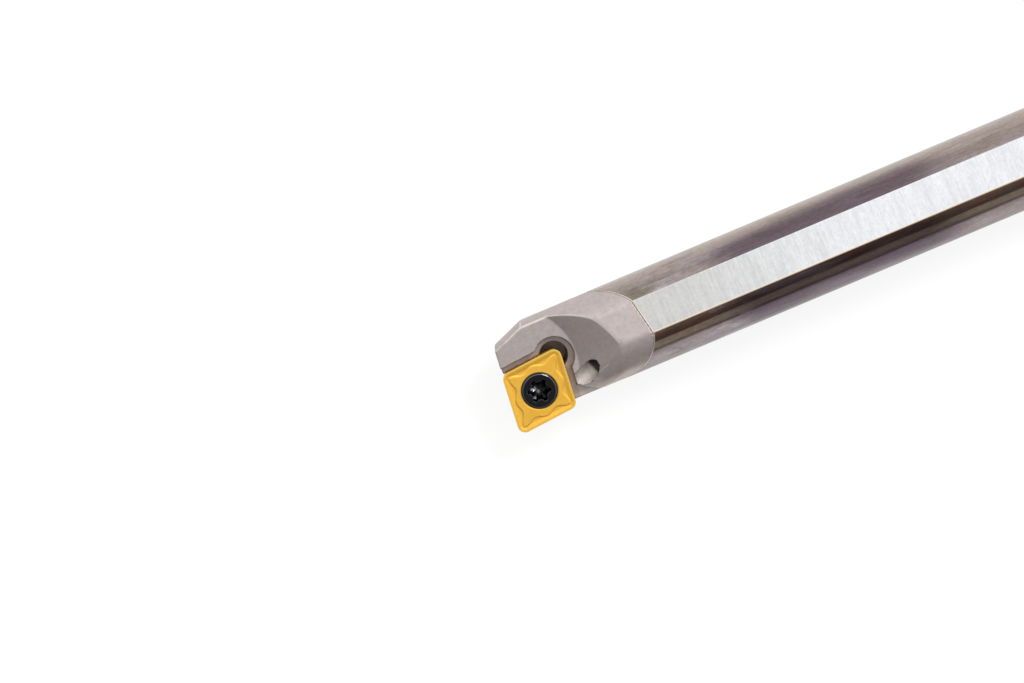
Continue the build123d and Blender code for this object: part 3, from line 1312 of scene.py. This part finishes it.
    def build(self) -> None:
        """Build the head with its wear-and-highlight and painted-shade attributes, dressed and settled."""
        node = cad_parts[Slot.HEAD.value]
        packed = node.data.copy()
        packed.transform(Matrix.Scale(1 / MM, 4))
        skin = self.fine_skin(packed)
        spots = triples(skin.vertices, "co")
        gaps = self.edge_gaps(packed, spots)
        true_normals = self.smooth_normals(packed, spots)
        box = np.array([corner[:] for corner in node.bound_box]) / MM
        worn = np.clip(self.wear_edges(skin, spots, gaps), box.min(axis=0), box.max(axis=0))
        skin.vertices.foreach_set("co", (worn * MM).ravel())
        skin.update()
        self.shade(skin, gaps, true_normals)
        # pale edges: partly wear, partly painted highlight along the edges that catch light
        paled = (Edge.RIM, Edge.LAND, Edge.PLAIN)
        wear_and_highlight = sum(fade_out(gaps[kind], kind.value * self.wear_and_highlight_start, kind.value) for kind in paled)
        # painted highlight: random glints on the outlet's floor
        glint = np.random.default_rng(self.glint_seed).uniform(*self.glint, len(spots))
        paint(skin, self.finish.wear_and_highlight, np.maximum(wear_and_highlight, glint * self.in_outlet(spots)[1]))
        # painted shade in the pocket's hollows and the outlet
        paint(skin, self.finish.painted_shade, self.painted_shade(spots, gaps))
        settle(carrier("steel_head", skin), Slot.HEAD, self.finish.material())


@dataclass
class Insert:
    """Rhombic insert with a honed edge, a chip groove round a wavy raised middle, and a countersunk hole."""

    thickness: float = 2.38
    relief: float = math.radians(7)
    bore_radius: float = 1.4
    bore_break: float = 0.05
    mouth_radius: float = 1.935
    sink_slope: float = math.tan(math.radians(30))
    hone: float = 0.03
    land: float = 0.15
    slope_width: float = 0.5
    groove_depth: float = 0.13
    island_drop: float = 0.02
    island_inset: float = 0.82
    island_wave: float = 0.19
    island_blend: float = 0.05
    wall_run: float = 0.16
    point_gap: float = 0.055
    rows: int = 60
    rim_width: Pair = (0.02, 0.13)
    rim_depth: Pair = (-0.08, -0.03)
    finish: GoldCoating = GoldCoating()

    def outline(self) -> tuple[np.ndarray, np.ndarray]:
        """Evenly spaced points of the rounded rhombus.

        Returns:
            The points and their outward normals.
        """
        radius, half = BAR.corner_radius, BAR.half_corner
        core = BAR.inscribed / 2 - radius
        corners = [(core / math.sin(half), 0.0), (0.0, core / math.cos(half))]
        corners += [(-x, -y) for x, y in corners]
        turns = [math.pi / 2 - half, half] * 2
        points, normals = [], []
        for index, (corner, turn) in enumerate(zip(corners, turns)):
            middle = index * math.pi / 2
            steps = max(2, round(2 * turn * radius / self.point_gap))
            arc = np.linspace(middle - turn, middle + turn, steps + 1)
            ring = np.stack([np.cos(arc), np.sin(arc)], axis=1)
            points.append(np.array(corner) + radius * ring)
            normals.append(ring)
            following = np.array(corners[(index + 1) % 4]) + radius * ring[-1]
            gap = np.linalg.norm(following - points[-1][-1])
            shares = np.linspace(0, 1, round(gap / self.point_gap) + 1)[1:-1, None]
            points.append(points[-1][-1] * (1 - shares) + following * shares)
            normals.append(np.repeat(ring[-1:], len(shares), axis=0))
        return np.vstack(points), np.vstack(normals)

    def height(self, points: np.ndarray) -> np.ndarray:
        """Height of the top face.

        Args:
            points: X and Y in the insert's own millimetres.

        Returns:
            One height for each point, seen from above.
        """
        half, middle = BAR.half_corner, BAR.inscribed / 2 - self.island_inset
        side = middle / math.sin(half) / math.cos(half)
        gaps = []
        for flip in ((1, 1), (-1, 1), (-1, -1), (1, -1)):
            turned = points * np.array(flip)
            share = (turned @ np.array([-math.cos(half), math.sin(half)]) + middle / math.tan(half)) / side
            wave = self.island_wave * np.cos(4 * math.pi * (np.clip(share, 0, 1) - 0.5))
            gaps.append(middle + wave - turned @ np.array([math.sin(half), math.cos(half)]))
        groove = smooth_step(BAR.inside_insert(points), self.land, self.land + self.slope_width)
        wall = smooth_step(smooth_min(gaps, self.island_blend), -self.wall_run, 0.02)
        return -self.groove_depth * groove + (self.groove_depth - self.island_drop) * wall

    def rings(self) -> np.ndarray:
        """Rings from the foot of the bore round the outside to the foot of the bore again.

        Returns:
            Array of rings, points and coordinates, in the insert's own millimetres.
        """
        outline, normals = self.outline()
        heading = outline / np.linalg.norm(outline, axis=1, keepdims=True)

        def flank(depth: float, inset: float = 0.0) -> np.ndarray:
            """Ring on the flank at a depth below the top."""
            level = np.full((len(outline), 1), -depth)
            return np.hstack([outline - normals * (depth * math.tan(self.relief) + inset), level])

        def hole(radius: float, level: float) -> np.ndarray:
            """Round ring at a level."""
            return np.hstack([heading * radius, np.full((len(outline), 1), level)])

        foot, sink = -self.thickness, -self.island_drop
        bore, bottom = self.bore_radius, flank(self.thickness, self.hone)
        stack = [hole(bore, foot + self.bore_break), hole(bore + self.bore_break, foot)]
        stack.append(stack[-1] * 0.5 + bottom * 0.5)
        stack += [bottom, flank(self.thickness - self.hone), flank(self.thickness / 2)]
        for turn in (0, 30, 60, 90):
            drop = self.hone * (1 - math.sin(math.radians(turn)))
            stack.append(flank(drop, self.hone * (1 - math.cos(math.radians(turn)))))
        rim = stack[-1][:, :2]
        lip = heading * (self.mouth_radius + 0.02)
        for share in np.linspace(0, 1, self.rows)[1:]:
            flat = rim * (1 - share) + lip * share
            stack.append(np.hstack([flat, self.height(flat)[:, None]]))
        depth = (self.mouth_radius - bore) / self.sink_slope
        stack.append(hole(self.mouth_radius - 0.01, sink - 0.02))
        stack += [hole(bore + 0.02, sink - depth + 0.03), hole(bore, sink - depth - 0.03)]
        return np.stack(stack)

    def build(self) -> None:
        """Build the insert with its rim attribute, dressed and settled."""
        place = BAR.insert_place()
        piece = ring_mesh("coated_insert", self.rings(), Ends.JOINED, place)
        spots = own_spots(piece.data, place)
        # painted highlight along the honed edge near the top
        near_edge = fade_out(BAR.inside_insert(spots[:, :2]), *self.rim_width)
        paint(piece.data, self.finish.rim, near_edge * smooth_step(spots[:, 2], *self.rim_depth))
        settle(piece, Slot.INSERT, self.finish.material())


@dataclass
class ThreadTree:
    """Geometry nodes that wind a vee thread round a closed core."""

    length: float
    crest: float = 1.232
    root: float = 1.02
    pitch: float = 0.45
    point: float = 0.3
    around: int = 72
    along: int = 260

    def radius(self, graph: Graph, sizes: Sequence[Socket], turn: Socket, depth: Socket) -> Socket:
        """Radius of the thread, closed to nothing at both ends.

        Args:
            graph: graph of the tree.
            sizes: the tree's inputs.
            turn: angle round the axis.
            depth: distance below the top.

        Returns:
            The radius.
        """
        turns = graph.math("DIVIDE", turn, 2 * math.pi)
        winding = graph.math("ADD", graph.math("DIVIDE", depth, sizes["Pitch"]), turns)
        wave = graph.product(graph.math("PINGPONG", winding, 0.5), 2.0)
        thread = graph.math("MULTIPLY_ADD", wave, graph.math("SUBTRACT", sizes["Crest"], sizes["Root"]))
        graph.feed(sizes["Root"], thread.node.inputs[2])
        left = graph.math("SUBTRACT", sizes["Length"], depth)
        chamfer = graph.math("ADD", left, graph.math("SUBTRACT", sizes["Crest"], sizes["Point"]))
        ends = [graph.math("GREATER_THAN", distance, 1e-4) for distance in (depth, left)]
        return graph.product(graph.math("MINIMUM", thread, chamfer), graph.product(*ends))

    def build(self, name: str, material: bpy.types.Material) -> bpy.types.Mesh:
        """Wind the thread.

        Args:
            name: name of the mesh.
            material: material of the thread.

        Returns:
            The thread as a plain mesh, pointing down from the origin, in metres.
        """
        tree = bpy.data.node_groups.new("vee_thread", "GeometryNodeTree")
        tree.interface.new_socket("Geometry", in_out="OUTPUT", socket_type="NodeSocketGeometry")
        keys = {}
        for size in ("length", "crest", "root", "pitch", "point"):
            socket = tree.interface.new_socket(size.capitalize(), in_out="INPUT", socket_type="NodeSocketFloat")
            keys[socket.identifier] = getattr(self, size)
        graph = Graph(tree)
        start = graph.add("NodeGroupInput").outputs
        counts = {"Vertices_X": self.around + 1, "Vertices_Y": self.along}
        grid = graph.add("GeometryNodeMeshGrid", None, Size_X=2 * math.pi, Size_Y=1.0, **counts)
        turn, lengthwise, _ = graph.split(graph.add("GeometryNodeInputPosition").outputs[0])
        depth = graph.product(graph.math("SUBTRACT", 0.5, lengthwise), start["Length"])
        radius = self.radius(graph, start, turn, depth)
        across, beside = (graph.product(radius, graph.math(wave, turn)) for wave in ("COSINE", "SINE"))
        down = graph.product(depth, -1.0)
        place = graph.add("ShaderNodeCombineXYZ", None, X=across, Y=beside, Z=down).outputs[0]
        solid = graph.add("GeometryNodeSetPosition", None, Geometry=grid.outputs[0], Position=place).outputs[0]
        finishing = {
            "GeometryNodeMergeByDistance": {"Distance": 1e-4},
            "GeometryNodeTransform": {"Scale": (MM, MM, MM)},
            "GeometryNodeRealizeInstances": {},
            "GeometryNodeSetMaterial": {"Material": material},
        }
        for kind, inputs in finishing.items():
            solid = graph.add(kind, None, Geometry=solid, **inputs).outputs[0]
        graph.add("NodeGroupOutput", None, Geometry=solid)
        blank = carrier(name, bpy.data.meshes.new(name))
        modifier = blank.modifiers.new("thread", "NODES")
        modifier.node_group = tree
        for key, value in keys.items():
            modifier[key] = value
        return baked(blank)


@dataclass
class Screw:
    """Countersunk screw with a six-lobed recess and a threaded shaft.

    A highlight spot is its X, Y and radius, and the share of its painted highlight.
    """

    recess: float = 0.03
    top_radius: float = 1.914
    bevel_width: float = 0.28
    bevel_height: float = 0.1
    crest_round: tuple[Pair, ...] = ((0.0, 0.0), (0.03, 0.006), (0.06, 0.022), (0.09, 0.045))
    sink_slope: float = math.tan(math.radians(30))
    shaft_radius: float = 1.235
    length: float = 4.5
    lobe_radius: float = 1.2
    hollow_radius: float = 0.51
    hollow_place: float = 1.385
    lobe_depth: float = 0.85
    lobe_round: float = 0.02
    bowl_depth: float = 0.5
    bowl_shares: tuple[float, ...] = (0.08, 0.25, 0.42, 0.58, 0.74, 0.9)
    neck_length: float = 0.62
    neck_radius: float = 1.04
    thread_overlap: float = 0.05
    highlight_spots: tuple[tuple[float, float, float, float], ...] = ((0.2, -0.5, 0.36, 0.9), (0.24, 0.06, 0.26, 0.3))
    highlight_depths: Pair = (0.5, 0.75)
    highlight_end: float = -1.5
    rim_wear_and_highlight: Triple = (0.02, 0.05, 0.22)
    rim_levels: Pair = (-0.12, -0.06)
    around: int = 216
    finish: BlackOxide = BlackOxide()

    def lobes(self, angles: np.ndarray) -> np.ndarray:
        """Radius of the six-lobed recess.

        Args:
            angles: directions round the axis.

        Returns:
            One radius for each direction.
        """
        off_hollow = (angles % math.radians(60)) - math.radians(30)
        sideways = self.hollow_place * np.sin(off_hollow)
        root = np.sqrt(np.maximum(self.hollow_radius**2 - sideways**2, 0))
        hollow = np.where(root > 0, self.hollow_place * np.cos(off_hollow) - root, 2 * self.lobe_radius)
        return smooth_min([np.full_like(angles, self.lobe_radius), hollow], self.lobe_round)

    def profile(self, lobes: np.ndarray, neck_foot: float) -> Rows:
        """Rows of the screw's head from the middle of its recess to the foot of its neck.

        Args:
            lobes: radius of the recess in each direction.
            neck_foot: depth of the neck's foot.

        Returns:
            Radius and level of each ring.
        """
        floor, bevel, neck_top = -self.lobe_depth, -self.bevel_height, self.neck_length - neck_foot
        crest, foot = self.crest(), self.top_radius - self.bevel_height * self.sink_slope
        rows = [(lobes * share, floor - self.bowl_depth * math.sqrt(1 - share**2)) for share in self.bowl_shares]
        rows += [(lobes - 0.04, floor), (lobes - 0.01, floor + 0.05), (lobes, floor + 0.2), (lobes, -0.12)]
        rows += [(lobes + 0.015, -0.05), (lobes + 0.06, 0.0), (lobes + 0.1, 0.0), (crest - 0.04, 0.0)]
        rows += [(crest + out, -drop) for out, drop in self.crest_round]
        rows += [(foot - 0.02, bevel + 0.01), (foot, bevel - 0.02)]
        rows += [(self.shaft_radius + 0.01, neck_top), (self.neck_radius, neck_top - 0.12)]
        return rows + [(self.neck_radius, 0.05 - neck_foot), (self.neck_radius - 0.05, -neck_foot)]

    def crest(self) -> float:
        """Radius at which the flat top turns down."""
        return self.top_radius - self.bevel_width

    def wear_and_highlight(self, spots: np.ndarray) -> np.ndarray:
        """Share of bare metal and painted highlight: worn bare on the edges of the flat top and the lobes, partly
        painted highlight, and painted highlight spots on the recess floor.

        Args:
            spots: points in the screw's own millimetres.

        Returns:
            One share for each spot.
        """
        outward, level = np.hypot(spots[:, 0], spots[:, 1]), spots[:, 2]
        off_crest = np.abs(outward - self.crest() - 0.05)
        off_lobes = np.abs(outward - self.lobes(np.arctan2(spots[:, 1], spots[:, 0])) - 0.02)
        # crest and lobe edges: partly wear, partly painted highlight
        worn = fade_out(np.minimum(off_crest, off_lobes), *self.rim_wear_and_highlight) * smooth_step(level, *self.rim_levels)
        in_recess = (outward < self.lobe_radius) * (level > self.highlight_end)
        # painted highlight spots on the recess floor
        spot_floor = smooth_step(-level, *self.highlight_depths) * in_recess
        for x, y, reach, share in self.highlight_spots:
            worn += fade_out(np.hypot(spots[:, 0] - x, spots[:, 1] - y), 0.4 * reach, reach, share) * spot_floor
        return worn

    def build(self) -> None:
        """Build the screw, dressed and settled."""
        angles = np.linspace(0, 2 * math.pi, self.around, endpoint=False)
        neck_foot = (self.top_radius - self.shaft_radius) / self.sink_slope + self.neck_length
        place = BAR.insert_place(-self.recess)
        rings = lathe(self.profile(self.lobes(angles), neck_foot), angles)
        head = ring_mesh("screw_head", rings, Ends.POLES, place)
        material = self.finish.material()
        start = neck_foot - self.thread_overlap
        thread = ThreadTree(length=self.length - start).build("screw_thread", material)
        thread.transform(in_metres(place @ Matrix.Translation((0, 0, -start))))
        work = bmesh.new()
        work.from_mesh(head.data)
        work.from_mesh(thread)
        mesh = bpy.data.meshes.new("lobed_screw")
        work.to_mesh(mesh)
        work.free()
        bpy.data.objects.remove(head)
        piece = finished_object("lobed_screw", mesh)
        paint(mesh, self.finish.wear_and_highlight, self.wear_and_highlight(own_spots(mesh, place)))
        settle(piece, Slot.SCREW, material)


@dataclass
class BrazeSeam:
    """Thin seam between shank and head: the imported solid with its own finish."""

    finish: BrazeMetal = BrazeMetal()

    def build(self) -> None:
        """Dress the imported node."""
        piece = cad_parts[Slot.BRAZE.value]
        for slot in piece.material_slots:
            slot.material = self.finish.material()
        log.info("%s: %d faces, dressed", piece.name, len(piece.data.polygons))


# ---------------------------------------------------------------- studio


@dataclass(frozen=True)
class Lamp:
    """Square soft lamp aimed at the tip."""

    name: str
    direction: Triple
    distance: float
    size: float
    radiance: float

    def build(self, target: Vector) -> None:
        """Hang the lamp.

        Args:
            target: point that it is aimed at, in metres.
        """
        data = bpy.data.lights.new(self.name, "AREA")
        data.size = self.size
        data.energy = self.radiance * math.pi * self.size**2
        lamp = bpy.data.objects.new(self.name, data)
        away = Vector(self.direction).normalized()
        lamp.location = target + away * self.distance
        lamp.rotation_mode = "QUATERNION"
        lamp.rotation_quaternion = away.to_track_quat("Z", "Y")
        lamp.visible_camera = False
        bpy.context.scene.collection.objects.link(lamp)


@dataclass
class Studio:
    """Pale floor, soft lamps and a camera that looks down at the tip along the bar's upper flat."""

    floor_size: float = 4.0
    floor_white: float = 0.86
    floor_shade: Colour = (0.17, 0.17, 0.17)
    floor_bounce: Colour = (0.55, 0.55, 0.55)
    surround_from: Triple = (-0.32, -0.45, 0.83)
    surround_spread: Pair = (-0.15, 0.95)
    surround_light: Pair = (0.13, 1.02)
    camera_distance: float = 1200.0
    clip_end: float = 10.0
    view_width: float = 102.67
    bar_roll: float = math.radians(3.3)
    bar_slant: float = math.radians(22.8)
    behind_tip: float = 2.79
    above_axis: float = 3.05
    lamps: tuple[Lamp, ...] = (
        Lamp("key_lamp", (-0.62, -0.30, 0.72), 0.9, 0.3, 15.0),
        Lamp("rim_lamp", (0.40, -0.68, 0.60), 0.9, 0.2, 3.5),
    )

    def centre(self) -> tuple[Vector, Matrix]:
        """Aim of the camera.

        Returns:
            The point that it looks at, in metres, and its rotation.
        """
        back_along = Vector((-1, 0, 0))
        aside = Vector((0, math.cos(self.bar_roll), -math.sin(self.bar_roll)))
        right = back_along * math.cos(self.bar_slant) + aside * math.sin(self.bar_slant)
        up = back_along * math.sin(self.bar_slant) - aside * math.cos(self.bar_slant)
        point = Vector((BAR.length, 0, 0)) + back_along * self.behind_tip - aside * self.above_axis
        rotation = Matrix((right, up, right.cross(up))).transposed()
        return point * MM, rotation

    def paint_floor(self) -> bpy.types.Material:
        """White paint that glows to the camera and gives the bar a duller bounce.

        Returns:
            The material.
        """
        material, graph = new_material("floor_paint")
        ray = graph.add("ShaderNodeLightPath").outputs
        seen = graph.math("MAXIMUM", ray["Is Camera Ray"], ray["Is Glossy Ray"])
        seen = graph.math("MAXIMUM", seen, ray["Is Transmission Ray"])
        paint = graph.mix(seen, self.floor_bounce, self.floor_shade)
        matte = graph.add("ShaderNodeBsdfDiffuse", None, Color=paint).outputs[0]
        white = graph.product(seen, self.floor_white)
        glow = graph.add("ShaderNodeEmission", None, Color=(1, 1, 1), Strength=white).outputs[0]
        both = graph.add("ShaderNodeAddShader", None, i0=matte, i1=glow).outputs[0]
        graph.add("ShaderNodeOutputMaterial", None, Surface=both)
        return material

    def floor(self) -> bpy.types.Object:
        """Lay the floor under the bar's lower flat.

        Returns:
            The floor.
        """
        half, level = self.floor_size / 2, -BAR.flat_half * MM
        corners = [(x * half, y * half, level) for x, y in ((-1, -1), (1, -1), (1, 1), (-1, 1))]
        mesh = bpy.data.meshes.new("floor")
        mesh.from_pydata(corners, [], [(0, 1, 2, 3)])
        mesh.materials.append(self.paint_floor())
        return carrier("floor", mesh)

    def surround(self) -> bpy.types.World:
        """Make the soft surround, brightest above and behind the bar's back side.

        Returns:
            The world.
        """
        world = bpy.data.worlds.new("studio")
        world.use_nodes = True
        graph = Graph(world.node_tree)
        way = graph.add("ShaderNodeTexCoord").outputs["Generated"]
        settings, bright = {"operation": "DOT_PRODUCT"}, Vector(self.surround_from).normalized()
        toward = graph.add("ShaderNodeVectorMath", settings, i0=way, i1=bright).outputs["Value"]
        strength = graph.span(toward, *self.surround_spread, *self.surround_light)
        glow = graph.add("ShaderNodeBackground", None, Color=(1, 1, 1), Strength=strength).outputs[0]
        graph.add("ShaderNodeOutputWorld", None, Surface=glow)
        return world

    def build(self) -> None:
        """Set up floor, light and camera."""
        scene = bpy.context.scene
        scene.view_settings.view_transform = "Standard"
        point, rotation = self.centre()
        self.floor()
        for lamp in self.lamps:
            lamp.build(point)
        scene.world = self.surround()
        data = bpy.data.cameras.new("camera")
        data.lens = data.sensor_width * self.camera_distance / self.view_width
        data.clip_end = self.clip_end
        camera = bpy.data.objects.new("camera", data)
        camera.location = point + rotation @ Vector((0, 0, self.camera_distance * MM))
        camera.rotation_euler = rotation.to_euler()
        scene.collection.objects.link(camera)
        scene.camera = camera
        log.info("studio: %d lamps", len(self.lamps))


def main() -> None:
    """Build the pieces in order, then the studio."""
    for part in (Shank(), BrazeSeam(), Head(), Insert(), Screw(), Studio()):
        part.build()


if __name__ == "__main__":
    main()
